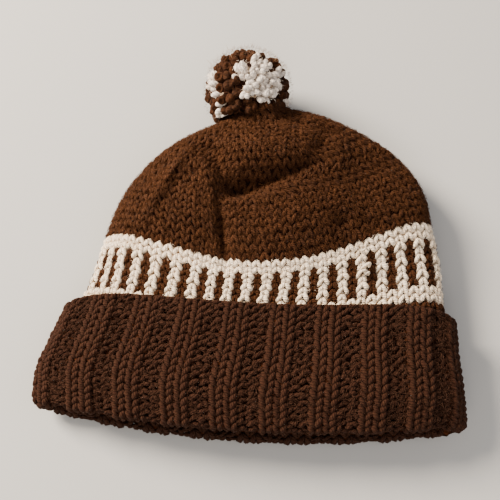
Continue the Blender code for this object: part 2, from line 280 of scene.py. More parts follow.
def ring(table, row, places, floor_height):
    """Points round one row, at shares of its length that start at the left fold line."""
    s = section_at(table, row)
    angle = np.linspace(0.0, 2 * math.pi, FINE_STEPS + 1)
    front = angle <= math.pi
    fullness = np.where(np.cos(angle) > 0, LEFT_FULLNESS, RIGHT_FULLNESS)
    fullness = np.where(front, fullness, UNDER_FULLNESS)
    roundness = np.where(front, FRONT_ROUNDNESS, UNDER_ROUNDNESS)
    across = -np.sign(np.cos(angle)) * np.abs(np.cos(angle)) ** (2 / fullness)
    rise = np.abs(np.sin(angle)) ** (2 / roundness)
    share = (across + 1) / 2
    sag = np.where(front, s.front_sag, s.back_sag)
    x = s.left_x + (s.right_x - s.left_x) * share
    y = s.left_y + (s.right_y - s.left_y) * share + sag * (1 - across ** 2) - s.droop * across ** 6
    middle = s.under + (s.top - s.under) * MIDDLE_SHARE
    z = np.where(front, middle + (s.top - middle) * rise, middle - (middle - s.under) * rise)
    if table is BODY:
        share_of_height = min(1.0, (s.top - s.under) / FULL_HEIGHT)
        z = z + np.where(front, relief(x, y) * rise ** 2 * share_of_height, 0.0)
    points = np.stack((x, y, np.maximum(z, floor_height)), axis=1)
    length = np.concatenate(([0.0], np.cumsum(np.linalg.norm(np.diff(points, axis=0), axis=1))))
    wanted = (places % 1.0) * length[-1]
    return np.stack([np.interp(wanted, length, points[:, i]) for i in range(3)], axis=1)


# %% [markdown]
# A stitch can only be laid on the surface if any place on it can be looked up fast. So the rings
# are worked out once on a fine grid, with the outward direction and the size of one whole turn
# and of one row there, and every later lookup is a blend of the four nearest grid points.

# %% A surface that can be looked up
GRID_ROUND = 960
GRID_PLACES = np.arange(GRID_ROUND) / GRID_ROUND
NEIGHBOUR = 4
ROW_STEP = 0.25
LAST_ROW = 36
Surface = namedtuple("Surface", "rows points outward turn row_size")


def surface_from(rows, points):
    """A lookup grid from rings of points, all with the same places round the cap."""
    ahead = np.roll(points, -NEIGHBOUR, axis=1) - np.roll(points, NEIGHBOUR, axis=1)
    upward = np.gradient(points, rows, axis=0)
    turn = np.linalg.norm(ahead, axis=2) * (GRID_ROUND / (2 * NEIGHBOUR))
    row_size = np.linalg.norm(upward, axis=2)
    return Surface(rows, points, unit(np.cross(ahead, upward)), turn, row_size)


def look_up(surface, field, places, rows):
    """A field of the surface at many places and rows."""
    table = getattr(surface, field)
    x = (places % 1.0) * GRID_ROUND
    left = np.floor(x).astype(int)
    fx = x - left
    y = np.interp(rows, surface.rows, np.arange(len(surface.rows)))
    low = np.clip(np.floor(y).astype(int), 0, len(surface.rows) - 2)
    fy = y - low
    left, next_left = left % GRID_ROUND, (left + 1) % GRID_ROUND
    if table.ndim == 3:
        fx, fy = fx[..., None], fy[..., None]
    return ((table[low, left] * (1 - fx) + table[low, next_left] * fx) * (1 - fy)
            + (table[low + 1, left] * (1 - fx) + table[low + 1, next_left] * fx) * fy)


def body_surface():
    """The body, from the top of the ribbing, row 0, to the gathered top of the crown."""
    rows = np.concatenate((np.arange(0, LAST_ROW, ROW_STEP),
                           np.arange(LAST_ROW, LAST_ROW + 0.91, 0.1)))
    return surface_from(rows, np.stack([ring(BODY, row, GRID_PLACES, 0.0) for row in rows]))


body = body_surface()
print("body surface", body.points.shape[:2], "turns", round(float(body.turn[0].mean())), "mm")

# %% [markdown]
# The cuff's surface is one continuous sheet: up the outside from the fold to the free edge, and
# the other way round the fold and up the inside of the cap. Rows above zero are outside, and rows
# below zero go round the fold and in.

# %% The cuff as one sheet round its fold
CUFF_ROWS = 16
FOLD_ROWS = 3.5
INSIDE_ROWS = 12
FOLD_STEPS = 15
INSIDE_STEPS = 25


def cuff_surface():
    """The visible side of the ribbing, from deep inside the cap, round the fold, to its edge."""
    outside_rows = np.arange(0, CUFF_ROWS + 0.01, ROW_STEP)
    outside = np.stack([ring(CUFF, row, GRID_PLACES, RIB_CREST) for row in outside_rows])
    sheet = surface_from(outside_rows, outside)
    foot, outward = sheet.points[0], sheet.outward[0]
    upward = unit(sheet.points[1] - foot)
    radius = (2 * CUFF_LAYER + LAYER_GAP) / 2
    turns = np.linspace(math.pi, 0, FOLD_STEPS)[:-1]
    fold = [foot - outward * radius * (1 - math.cos(turn)) - upward * radius * math.sin(turn)
            for turn in turns]
    fold_rows = -FOLD_ROWS * turns / math.pi
    top = body.points[0] - body.outward[0] * BODY_WALL
    share = np.linspace(1, 0, INSIDE_STEPS)[:-1]
    inside = [fold[0] + (top - fold[0]) * s for s in share]
    inside_rows = -FOLD_ROWS - (INSIDE_ROWS - FOLD_ROWS) * share
    rows = np.concatenate((inside_rows, fold_rows, outside_rows))
    return surface_from(rows, np.concatenate((np.stack(inside), np.stack(fold), outside)))


cuff = cuff_surface()
print("cuff surface", cuff.points.shape[:2], "turns", round(float(cuff.turn[-1].mean())), "mm")
cuff_middle = (Vector(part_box("ribbed_cuff")[0]) + Vector(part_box("ribbed_cuff")[1])) / 2 / MM
cuff_x = cuff.points[:, :, 0]
SHIFT = np.array((cuff_middle.x - (cuff_x.min() + cuff_x.max()) / 2, 0.0, 0.0))
print("the grid lies", SHIFT.round(2), "mm from the model")

# %% [markdown]
# Yarn
#
# In a knitted stitch only short runs of yarn show, each plump in the middle and tucked under its
# neighbours at both ends. One closed bead, a stretched sphere, stands for such a run. Copying it
# through arrays and bending each copy along its own path gives thousands of runs in a second;
# separate objects or particle instances would be slower and could not bend.

# %% One bead of yarn, and many of them bent along paths
Bead = namedtuple("Bead", "around along girth faces")
OUT = np.array((0.0, 0.0, 1.0))
T_STEP = 0.02
PEGS = np.linspace(0, 1, 9)[None, :]
LONGEST_SHIFT = 9.0


def yarn_bead(sides, rings, taper=0.75):
    """A closed bead: for each vertex its angle round the yarn, its place along it and its girth."""
    bm = bmesh.new()
    bmesh.ops.create_uvsphere(bm, u_segments=sides, v_segments=rings, radius=1.0)
    co = np.array([vertex.co[:] for vertex in bm.verts])
    faces = [[vertex.index for vertex in face.verts] for face in bm.faces]
    bm.free()
    girth = np.clip(np.hypot(co[:, 0], co[:, 1]), 0, 1) ** taper
    return Bead(np.arctan2(co[:, 1], co[:, 0]), (co[:, 2] + 1) / 2, girth, faces)


FINE_BEAD = yarn_bead(8, 6)
PLAIN_BEAD = yarn_bead(6, 5)
HIDDEN_BEAD = yarn_bead(5, 4)
dice = np.random.default_rng(23)


def tube(bead, centre, side, over, girth):
    """A bead's vertices round its centre line, which side and over stand square to."""
    around = bead.around[None, :, None]
    return centre + (side * np.cos(around) + over * np.sin(around)) * girth[..., None]


def yarn_map(bead, length):
    """The yarn's own coordinates: a cosine and a sine round it, and millimetres along it."""
    along = bead.along[None, :] * length + dice.uniform(0, LONGEST_SHIFT, (len(length), 1))
    around = np.broadcast_to(bead.around, along.shape)
    return np.stack((np.cos(around), np.sin(around), along), axis=-1)


def lay_yarn(surface, bead, place, row, path, radius):
    """Runs of yarn laid on a surface: path gives, for t along the run, its offset across, up and
    out in millimetres. Returns the bead, the vertices and the yarn's own coordinates."""
    place, row = np.reshape(place, (-1, 1)), np.reshape(row, (-1, 1))
    t = bead.along[None, :]
    direction = unit(np.stack(path(t + T_STEP), axis=-1) - np.stack(path(t - T_STEP), axis=-1))
    side = unit(np.cross(OUT, direction))
    local = tube(bead, np.stack(path(t), axis=-1), side, np.cross(direction, side),
                 radius * bead.girth[None, :])
    at_place = place + local[..., 0] / look_up(surface, "turn", place, row)
    at_row = row + local[..., 1] / look_up(surface, "row_size", place, row)
    out = unit(look_up(surface, "outward", at_place, at_row))
    points = look_up(surface, "points", at_place, at_row) + out * local[..., 2:3] + SHIFT
    pegs = np.stack(path(PEGS), axis=-1)
    length = np.linalg.norm(np.diff(pegs, axis=1), axis=-1).sum(axis=1, keepdims=True)
    return bead, points * MM, yarn_map(bead, np.broadcast_to(length, (len(points), 1)))


def together(parts):
    """Parts made from the same bead, as one part."""
    return parts[0][0], *(np.concatenate([part[k] for part in parts]) for k in (1, 2))


print("a fine bead has", len(FINE_BEAD.faces), "faces, a plain one", len(PLAIN_BEAD.faces))


def stands_for(thing, node):
    """A piece rides on the cap's one body and takes the place of a node, which is hidden."""
    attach(thing, "root")
    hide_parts(node)


def joined_mesh(name, parts, material, node):
    """One object from many copies of beads: parts are (bead, points, twist) arrays."""
    points = np.concatenate([p.reshape(-1, 3) for _, p, _ in parts])
    twist = np.concatenate([w.reshape(-1, 3) for _, _, w in parts])
    corners, sizes, shades, offset = [], [], [], 0
    for bead, part, _ in parts:
        copies, size = part.shape[:2]
        base = offset + np.arange(copies)[:, None] * size
        for sides in sorted({len(face) for face in bead.faces}):
            block = np.array([face for face in bead.faces if len(face) == sides])
            corners.append((base[:, :, None] + block[None]).reshape(-1))
            sizes.append(np.full(copies * len(block), sides))
        shades.append(np.repeat(dice.normal(0, 1, copies), size))
        offset += copies * size
    corners, sizes = np.concatenate(corners), np.concatenate(sizes)
    mesh = bpy.data.meshes.new(name)
    mesh.vertices.add(len(points))
    mesh.vertices.foreach_set("co", points.reshape(-1).astype(np.float32))
    mesh.loops.add(len(corners))
    mesh.loops.foreach_set("vertex_index", corners.astype(np.int32))
    mesh.polygons.add(len(sizes))
    mesh.polygons.foreach_set("loop_start", (np.cumsum(sizes) - sizes).astype(np.int32))
    mesh.polygons.foreach_set("use_smooth", np.ones(len(sizes), dtype=bool))
    mesh.update(calc_edges=True)
    mesh.attributes.new("yarn", "FLOAT_VECTOR", "POINT").data.foreach_set(
        "vector", twist.reshape(-1).astype(np.float32))
    mesh.attributes.new("shade", "FLOAT", "POINT").data.foreach_set(
        "value", np.concatenate(shades).astype(np.float32))
    mesh.materials.append(material)
    thing = put_in_scene(name, mesh)
    stands_for(thing, node)
    runs = sum(len(p) for _, p, _ in parts)
    print(f"{name}: {runs} runs of yarn, {int((sizes - 2).sum())} triangles")
    return thing


# %% [markdown]
# Yarn materials
#
# Worsted yarn is several strands twisted together. The eye reads it from the slanting grooves
# between the strands, a soft velvety edge where fibres catch the light, and small changes of
# shade. Each bead carries its own coordinates, so the grooves wind round the yarn wherever it
# runs. The fibres themselves are too fine to draw, so a noise about ten times coarser stands in.

# %% The material of worsted yarn
STRANDS = 4
TWIST_PITCH_MM = 6.0
FIBRE_SCALE = (3.2, 3.2, 0.9)
PATCH_SCALE = 55.0
SHADE_SPREAD = 0.2
PATCH_SPREAD = 0.32


def worsted(name, base, deep, glow, groove=0.55, sheen=0.15, relief=0.5):
    """Acrylic worsted: matt, grooves in painted shade, painted fibre highlights, tone changes,
    sheen.
    """
    material, tree, surface = matt_material(name, 0.92, 0.12)
    yarn = add(tree, "Attribute", attribute_name="yarn").outputs["Vector"]
    axes = add(tree, "SeparateXYZ", {"Vector": yarn}).outputs
    angle = add(tree, "Math", {0: axes["Y"], 1: axes["X"]}, operation="ARCTAN2")
    wound = add(tree, "Math", {0: axes["Z"], 1: 2 * math.pi * STRANDS / TWIST_PITCH_MM, 2: angle},
                operation="MULTIPLY_ADD")
    phase = add(tree, "Math", {0: angle, 1: STRANDS - 1.0, 2: wound}, operation="MULTIPLY_ADD")
    wave = add(tree, "Math", {0: phase}, operation="SINE")
    strand = add(tree, "MapRange", {"Value": wave, "From Min": -1.0, "From Max": 0.6},
                 interpolation_type="SMOOTHSTEP")

    combed = add(tree, "VectorMath", {0: yarn, 1: FIBRE_SCALE}, operation="MULTIPLY")
    fibres = add(tree, "TexNoise", {"Vector": combed, "Scale": 1.0, "Detail": 3.0,
                                    "Roughness": 0.65})
    place = add(tree, "TexCoord").outputs["Object"]
    patches = add(tree, "TexNoise", {"Vector": place, "Scale": PATCH_SCALE, "Detail": 2.0})
    shade = add(tree, "Attribute", attribute_name="shade").outputs["Fac"]
    drift = add(tree, "Math", {0: patches, 1: 2.4, 2: -1.2}, operation="MULTIPLY_ADD")
    tone = add(tree, "Math", {0: shade, 1: SHADE_SPREAD, 2: 0.5}, operation="MULTIPLY_ADD")
    tone = add(tree, "Math", {0: drift, 1: PATCH_SPREAD, 2: tone}, operation="MULTIPLY_ADD",
               use_clamp=True)
    yarn_colour = add(tree, "Mix", {"Factor": tone, 6: linear(deep), 7: linear(base)},
                      data_type="RGBA")
    # Painted highlight: where the fibre noise is high, the colour goes towards the lighter glow.
    fibre_highlight = add(tree, "MapRange", {"Value": fibres, "From Min": 0.42, "From Max": 0.68,
                                   "To Max": 0.9})
    lit = add(tree, "Mix", {"Factor": fibre_highlight, 6: yarn_colour.outputs[2], 7: linear(glow)},
              data_type="RGBA")
    # Painted shade: the grooves between the strands are mixed towards the deep colour.
    groove_shade_mix = add(tree, "MapRange", {"Value": strand, "To Min": groove, "To Max": 0.0})
    colour_with_groove_shade = add(tree, "Mix", {"Factor": groove_shade_mix, 6: lit.outputs[2], 7: linear(deep)},
                  data_type="RGBA")

    height = add(tree, "Math", {0: fibres, 1: 1.4, 2: strand}, operation="MULTIPLY_ADD")
    bump = add(tree, "Bump", {"Strength": 1.0, "Distance": relief * MM, "Height": height})
    plug(tree, surface, {"Base Color": colour_with_groove_shade.outputs[2], "Normal": bump, "Sheen Weight": sheen,
                         "Sheen Roughness": 0.45, "Sheen Tint": linear(glow)})
    return material


# %% Make the yarn materials
# Chestnut brown acrylic: painted shade in the grooves, painted highlights where fibres stand up.
brown_yarn = worsted("chestnut_worsted", "#41210c", "#220d04", "#5e3b20")
# The ribbing is the same yarn, packed closer; its darker, greyer colours are painted shade.
shaded_rib_yarn = worsted("chestnut_worsted_rib_shaded", "#2f170b", "#281108", "#3c2616", sheen=0.25,
                   relief=0.44)
# Cut ends fray, so their strands hardly show and the fibres stand up like velvet.
brown_ends = worsted("chestnut_cut_ends", "#331909", "#180a04", "#4a2a12", groove=0.25, sheen=0.2,
                     relief=0.2)
# Undyed cream acrylic: light scatters inside it, so its grooves stay pale.
cream_yarn = worsted("cream_worsted", "#ffe9cd", "#e4c8a6", "#fff4e2", groove=0.45)
cream_ends = worsted("cream_cut_ends", "#ddd1c6", "#ab9b8d", "#ebe2d8", groove=0.35, sheen=0.1,
                     relief=0.32)
print("materials:", brown_yarn.name, shaded_rib_yarn.name, cream_yarn.name)

# %% [markdown]
# Ground cloth
#
# Between the runs of yarn one sees the yarn behind them, in shade. A smooth sheet a little under
# the surface stands for it and closes the gaps; its brown and cream colours are painted darker than
# their yarn, as painted shade. It starts as a flat grid, is moved onto the surface, and gets its
# wall from Solidify. Its inner side faces the head, where the purl side of the knitting shows as
# small bumps, which a material can carry because they are seen only at a slant.

# %% A material for the ground
def ground_material(name, base, deep):
    """The back of the knitting: rows of small purl bumps on the sheet's own map, painted shade in
    dips.
    """
    material, tree, surface = matt_material(name, 0.95, 0.05)
    stitches = add(tree, "UVMap", uv_map="stitches")
    axes = add(tree, "SeparateXYZ", {"Vector": stitches}).outputs
    row = add(tree, "Math", {0: axes["Y"], 1: 4 * math.pi}, operation="MULTIPLY")
    column = add(tree, "Math", {0: axes["X"], 1: 2 * math.pi}, operation="MULTIPLY")
    swing = add(tree, "Math", {0: column}, operation="SINE")
    slant = add(tree, "Math", {0: swing, 1: 1.2, 2: row}, operation="MULTIPLY_ADD")
    bumps = add(tree, "Math", {0: slant}, operation="SINE")
    place = add(tree, "TexCoord").outputs["Object"]
    fibres = add(tree, "TexNoise", {"Vector": place, "Scale": 900.0, "Detail": 3.0})
    height = add(tree, "Math", {0: fibres, 1: 0.8, 2: bumps}, operation="MULTIPLY_ADD")
    # Painted shade: the colour goes towards the deep one in the dips between the bumps.
    shade = add(tree, "MapRange", {"Value": height, "From Min": -1.0, "From Max": 1.6})
    colour = add(tree, "Mix", {"Factor": shade, 6: linear(deep), 7: linear(base)},
                 data_type="RGBA")
    bump = add(tree, "Bump", {"Strength": 1.0, "Distance": 0.7 * MM, "Height": height})
    plug(tree, surface, {"Base Color": colour.outputs[2], "Normal": bump})
    return material


# %% Make the ground sheets
# The brown and cream grounds are painted darker than their yarn, as painted shade between stitches.
shaded_brown_ground = ground_material("chestnut_purl_side_shaded", "#2f170a", "#160905")
rib_ground = ground_material("chestnut_rib_ground", "#42210f", "#2f1608")
shaded_cream_ground = ground_material("cream_purl_side_shaded", "#cdb59a", "#8a705a")
STITCHES = 80
BAND_ROWS = 11
GROUND_DEPTH = 1.7


def ground_sheet(name, surface, rows, grid, materials, node, depth=GROUND_DEPTH, wall=1.6,
                 closed_top=False, height=None, is_second=None):
    """A sheet at some depth under the surface, from one row to another, with a wall below it.
    Height raises it by place and row; is_second tells where it has its second material."""
    first, last = rows
    bm = bmesh.new()
    bmesh.ops.create_grid(bm, x_segments=grid[0], y_segments=grid[1], size=0.5)
    map_layer = bm.loops.layers.uv.new("stitches")
    for face in bm.faces:
        middle = face.calc_center_median()
        if is_second is not None:
            at_row = first + (last - first) * (middle.y + 0.5)
            face.material_index = int(is_second(np.array([middle.x + 0.5]), at_row)[0])
        for loop in face.loops:
            x, y = loop.vert.co.x + 0.5, loop.vert.co.y + 0.5
            loop[map_layer].uv = (x * STITCHES, first + (last - first) * y)
    co = np.array([vertex.co[:] for vertex in bm.verts])
    place, row = co[:, 0] + 0.5, first + (last - first) * (co[:, 1] + 0.5)
    sink = depth if height is None else depth - height(place, row)
    out = unit(look_up(surface, "outward", place, row))
    points = look_up(surface, "points", place, row) - out * np.reshape(sink, (-1, 1)) + SHIFT
    for vertex, point in zip(bm.verts, points * MM):
        vertex.co = point
    bmesh.ops.remove_doubles(bm, verts=bm.verts, dist=0.01 * MM)
    if closed_top:
        open_edges = [e for e in bm.edges if e.is_boundary and e.calc_length() < 3 * MM]
        bmesh.ops.holes_fill(bm, edges=open_edges, sides=grid[0])
    mesh = bpy.data.meshes.new(name)
    bm.to_mesh(mesh)
    bm.free()
    mesh.shade_smooth()
    for material in materials:
        mesh.materials.append(material)
    thing = put_in_scene(name, mesh)
    solid = thing.modifiers.new("wall", "SOLIDIFY")
    solid.thickness = wall * MM
    solid.offset = -1.0
    stands_for(thing, node)
    print(f"{name}: {len(mesh.polygons)} faces before its wall")


ground_sheet("crown_ground", body, (BAND_ROWS, 36.6), (160, 40), [shaded_brown_ground], "crown",
             closed_top=True)

# %% [markdown]
# Stocking stitch
#
# The plain fabric of the body is stocking stitch. Seen from outside, each stitch shows two legs
# that lean together, and since this cap is seen from its crown down, they meet at the top. The
# legs are longer than one row, so each row's ends tuck under the next. Real hands are uneven, so
# every leg gets its own small changes of place, girth and lift.

# %% Legs of a stitch
ACROSS_SPREAD = 0.015
REACH_SPREAD = 0.03
LIFT_SPREAD = 0.13
UP_SPREAD = 0.14
GIRTH_SPREAD = 0.045
TUCK = 1.5


def unevenness(count, kinds):
    """For each kind of unevenness, a column with a random number for every run of yarn."""
    return dice.normal(0, 1, (count, kinds)).T[:, :, None]


def legs(surface, bead, place, row, width, lift, point_up=True, radius=1.27, slack=1.3,
         near_share=0.05, far_share=0.45, reach_rows=0.64, doming=0.0):
    """Both legs of many stitches. Place and row are the stitches' middles; width, lift and radius
    are in millimetres."""
    width, lift = width[:, None], lift[:, None]
    row_size = look_up(surface, "row_size", place, row)[:, None] * (1 if point_up else -1)
    made = []
    for side in (-1.0, 1.0):
        shaken = unevenness(len(place), 6) * slack
        near = near_share * side + shaken[0] * ACROSS_SPREAD
        far = far_share * side + shaken[1] * ACROSS_SPREAD
        reach = reach_rows + shaken[2] * REACH_SPREAD

        def path(t):
            across = (near + (far - near) * t * t * (3 - 2 * t)) * width
            along = reach * (1 - 2 * t) * row_size
            tucked = np.where(t > 0.5, 1.25, 0.75) * np.abs(2 * t - 1) ** 2.6
            fall = doming * (2 * across / width) ** 2
            return (across, along + shaken[5] * UP_SPREAD,
                    lift + shaken[3] * LIFT_SPREAD - TUCK * tucked - fall)

        girth = radius * (1 + shaken[4] * GIRTH_SPREAD) * (0.88 + 0.24 * bead.along[None, :])
        made.append(lay_yarn(surface, bead, place, row, path, girth))
    return together(made)


# %% [markdown]
# The body has eighty stitches round. From row 19 on, the crown loses stitches in eight sectors, so
# that the columns lean towards each sector's edge and run together there, and the last few are
# drawn up under the pompom. The number in each sector follows the size of the ring, so the
# stitches keep their real width.

# %% Where the body's stitches sit
SECTORS = 8
FIRST_DECREASE = 19
PLAIN_WIDTH = 5.25
PULL_ENDS = 26
PULL_FADE_ROWS = 10
FRONT_SHARE = 0.53


def turn_length(row):
    """Length of one row round the cap."""
    return float(np.interp(row, body.rows, body.turn.mean(axis=1)))


def stitches_in_row(row):
    """Middles of the stitches of one row, as shares of a turn."""
    in_sector = STITCHES / SECTORS
    if row >= FIRST_DECREASE:
        in_sector = max(min(in_sector, turn_length(row + 0.5) / PLAIN_WIDTH / SECTORS), 1.0)
    sector = np.arange(SECTORS)[:, None]
    stitch = np.arange(round(in_sector))[None, :] + 0.5
    return ((sector + stitch / in_sector) / SECTORS).reshape(-1)


Pull = namedtuple("Pull", "name place reach columns")
PULLS = (
    Pull("left_fold", -0.01, 0.039, 1.55),
    Pull("bulge_left", 0.145, 0.045, 0.65),
    Pull("right_fold", 0.50, 0.10, 1.9),
)


def drifted(place, row):
    """Columns wander: the cloth is pulled round at its folds and where it bulges."""
    pulled = 0.0
    for pull in PULLS:
        away = (place - pull.place + 0.5) % 1.0 - 0.5
        pulled = pulled + pull.columns * np.exp(-(away / pull.reach) ** 2)
    wander = 0.0011 * np.sin(2 * math.pi * (3 * place + row / 17))
    wander += 0.0008 * np.sin(2 * math.pi * (7 * place - row / 11) + 1.3)
    fade = np.clip((PULL_ENDS - row) / PULL_FADE_ROWS, 0.0, 1.0)
    return place + pulled * fade / STITCHES + wander


def body_rows(rows, wanted):
    """Places, rows and widths of the body's stitches in some rows that pass a test."""
    place, row, width = [], [], []
    for r in rows:
        middles = stitches_in_row(r)
        chosen = middles[wanted(middles, r)]
        half = 0.5 / len(middles)
        place.append(drifted(chosen, r))
        row.append(np.full(len(chosen), r + 0.5))
        width.append(turn_length(r + 0.5) * (drifted(chosen + half, r) - drifted(chosen - half, r)))
    return np.concatenate(place), np.concatenate(row), np.concatenate(width)


def on_front(place):
    """True where a place is on the front, which faces up."""
    return (place % 1.0) < FRONT_SHARE


# %% Knit the crown
LEG_LIFT = -1.0
place, row, width = body_rows(range(BAND_ROWS, LAST_ROW + 1), lambda middles, r: middles >= 0)
facing = on_front(place)
for name, bead, chosen in (("crown_front_stitches", FINE_BEAD, facing),
                           ("crown_back_stitches", PLAIN_BEAD, ~facing)):
    uneven = dice.normal(0, 0.07, chosen.sum())
    part = legs(body, bead, place[chosen], row[chosen] + uneven, width[chosen],
                np.full(chosen.sum(), LEG_LIFT), slack=1.7)
    joined_mesh(name, [part], brown_yarn, "crown")

# %% [markdown]
# The striped band
#
# Two rows of cream, six rows in which every second stitch is cream, two more rows of cream and a
# row of brown before the ribbing. The two yarns run along together, so the cream stitches stand
# out and swell over the brown ones between them. Two meshes keep the two colours apart.

# %% Knit the band
STRIPE_FIRST, STRIPE_LAST = 3, 8


def is_cream(middles, row):
    """Which stitches of a band row are cream."""
    if STRIPE_FIRST <= row <= STRIPE_LAST:
        return np.floor(middles * STITCHES) % 2 == 1
    return np.full(len(middles), row > 0)


def band_part(bead, front, cream):
    """The band's stitches of one colour on one side."""
    place, row, width = body_rows(range(BAND_ROWS), lambda m, r: is_cream(m, r) == cream)
    chosen = on_front(place) == front
    place, row, width = place[chosen], row[chosen], width[chosen]
    striped = (row > STRIPE_FIRST) & (row < STRIPE_LAST + 1)
    bulging = np.where(np.floor(row) % 2 == 0, 1.0, -1.0) * (1 if cream else -1)
    swell = np.where(striped, (1.0 if cream else 0.92) + 0.20 * bulging, 1.0)
    lift = LEG_LIFT + np.where(striped, 0.3 + 0.25 * bulging if cream else -0.3, 0.1)
    return legs(body, bead, place, row, width * swell, lift, radius=1.34, slack=1.15)


def ground_is_cream(place, row):
    """Where the ground behind the band is cream: it wanders as the stitches in front do."""
    column = place
    for _ in range(4):
        column = column - (drifted(column, row) - place)
    return is_cream(column, math.floor(row))


ground_sheet("band_ground", body, (0.2, 10.9), (320, 22), [shaded_brown_ground, shaded_cream_ground],
             "patterned_band", is_second=ground_is_cream)
for name, yarn, cream in (("band_cream_stitches", cream_yarn, True),
                          ("band_brown_stitches", brown_yarn, False)):
    joined_mesh(name, [band_part(FINE_BEAD, True, cream), band_part(PLAIN_BEAD, False, cream)],
                yarn, "patterned_band")

# %% [markdown]
# Ribbing
#
# Two knit columns and two purl columns, over and over. The knit columns spring forward as
# ridges with clear legs. The purl columns draw back between them and show only the small cross
# bars of their loops. Because the cuff is turned up, its legs meet at the bottom. The same
# columns run round the fold and up the inside.

# %% Where the ribbing's columns stand
RIB_REPEATS = 19
RIB_PHASE = 0.908
KNIT_COLUMN = 0.285
PURL_COLUMN = (1 - 2 * KNIT_COLUMN) / 2
KNIT_OFFSETS = [KNIT_COLUMN * 0.5, KNIT_COLUMN * 1.5]
PURL_OFFSETS = [2 * KNIT_COLUMN + PURL_COLUMN * 0.5, 2 * KNIT_COLUMN + PURL_COLUMN * 1.5]
RIB_VALLEY = -1.8
ROUND_THE_FOLD = 3
outer_rows = range(-ROUND_THE_FOLD, CUFF_ROWS)
inner_rows = range(-INSIDE_ROWS, -ROUND_THE_FOLD)


def rib_columns(offsets):
    """Middles of columns at some offsets in every repeat, as shares of a turn."""
    repeats = np.arange(RIB_REPEATS)[:, None]
    return ((repeats + np.array(offsets)[None, :] + RIB_PHASE) / RIB_REPEATS).reshape(-1)


def rib_height(place, row):
    """Height of the ribbing round the cap, for the ground under the stitches."""
    share = (place * RIB_REPEATS - RIB_PHASE) % 1.0
    from_valley = np.abs(share - (2 * KNIT_COLUMN + PURL_COLUMN))
    from_valley = np.minimum(from_valley, 1 - from_valley)
    ridge = np.clip((from_valley - 0.6 * PURL_COLUMN) / (0.7 * PURL_COLUMN), 0, 1)
    return RIB_VALLEY + (RIB_CREST - RIB_VALLEY) * ridge * ridge * (3 - 2 * ridge)


def rib_stitches(offsets, column, rows, front):
    """Places, rows and widths of the stitches in some columns; front is None for both sides."""
    place, row = np.meshgrid(rib_columns(offsets), np.asarray(rows) + 0.5)
    place = (place + 0.0009 * np.sin(2 * math.pi * (2 * place + row / 13))).reshape(-1)
    row = row.reshape(-1)
    if front is not None:
        chosen = on_front(place) == front
        place, row = place[chosen], row[chosen]
    return place, row, look_up(cuff, "turn", place, row) * column / RIB_REPEATS


ground_sheet("cuff_ground", cuff, (-11.5, 15.9), (228, 28), [rib_ground], "ribbed_cuff",
             depth=GROUND_DEPTH - 0.6, wall=1.9, height=rib_height)
print("knit columns at", np.round(KNIT_OFFSETS, 2), "and purl at", np.round(PURL_OFFSETS, 2))


# %% Knit the ridges
def ridge_part(bead, rows, front=None):
    """Knit stitches of the ribbing, wide ones whose legs slant far apart."""
    place, row, width = rib_stitches(KNIT_OFFSETS, KNIT_COLUMN, rows, front)
    lift = np.full(len(place), RIB_CREST - 0.65)
    return legs(cuff, bead, place, row, width, lift, point_up=False, radius=1.5,
                near_share=0.07, far_share=0.43, reach_rows=0.75, slack=1.45, doming=0.45)


joined_mesh("cuff_knit_ridges", [ridge_part(FINE_BEAD, outer_rows, True),
                                 ridge_part(PLAIN_BEAD, outer_rows, False)],
            shaded_rib_yarn, "ribbed_cuff")

# %% Purl the valleys
Stroke = namedtuple("Stroke", "name across up slope half_length arch")
PURL_STROKES = (
    Stroke("upper_loop", -0.24, 0.30, 0.36, 2.0, 0.5),
    Stroke("lower_loop", 0.26, -0.02, -0.12, 2.1, -0.5),
    Stroke("loop_behind", -0.12, -0.34, 0.50, 1.8, 0.3),
)
BAR_RADIUS = 1.2
LEFT_SUNK, RIGHT_SUNK, SUNK_REACH = 0.06, 0.46, 0.055


def valley_lift(place, row):
    """How high the purl bars lie: sunk near the two folds of the cuff, raised at its edge."""
    edge = np.clip((row - CUFF_ROWS + 3.5) / 3, 0, 1)
    place = place % 1.0
    from_fold = np.minimum(np.abs(place - LEFT_SUNK), np.abs(place - RIGHT_SUNK))
    return RIB_VALLEY + 0.55 + 0.7 * edge - 1.1 * np.exp(-(from_fold / SUNK_REACH) ** 2)


def valley_part(bead, rows, front=None):
    """Purl stitches of the ribbing, sunk between the ridges: the short runs of yarn that each one
    shows, none quite level and none alike."""
    place, row, width = rib_stitches(PURL_OFFSETS, PURL_COLUMN, rows, front)
    lift = valley_lift(place, row)[:, None] + 0.4
    row_size = look_up(cuff, "row_size", place, row)[:, None]
    made = []
    for stroke in PURL_STROKES:
        shaken = unevenness(len(place), 5)
        slope = stroke.slope + shaken[0] * 0.32

        def path(t):
            swing = 2 * t - 1
            across = (stroke.across + shaken[1] * 0.07) * width[:, None]
            along = (stroke.up + shaken[2] * 0.08) * row_size + stroke.arch * (1 - swing ** 2)
            return (across + stroke.half_length * swing * np.cos(slope),
                    along + stroke.half_length * swing * np.sin(slope),
                    lift + shaken[3] * 0.3 - 0.8 * np.abs(swing) ** 2.4)

        girth = BAR_RADIUS * (1 + shaken[4] * 0.07)
        made.append(lay_yarn(cuff, bead, place, row, path, girth))
    return together(made)


joined_mesh("cuff_purl_valleys", [valley_part(FINE_BEAD, outer_rows, True),
                                  valley_part(PLAIN_BEAD, outer_rows, False)],
            shaded_rib_yarn, "ribbed_cuff")

# %% [markdown]
# The free edge of the cuff is bound off: a chain of loops lies along it, each loop slipped over
# the next, which rounds the edge. Two runs of yarn for each column, an upper and a lower one that
# reach past their neighbours, give that chain.

# %% Bind off the edge
CHAIN_RADIUS = 1.45


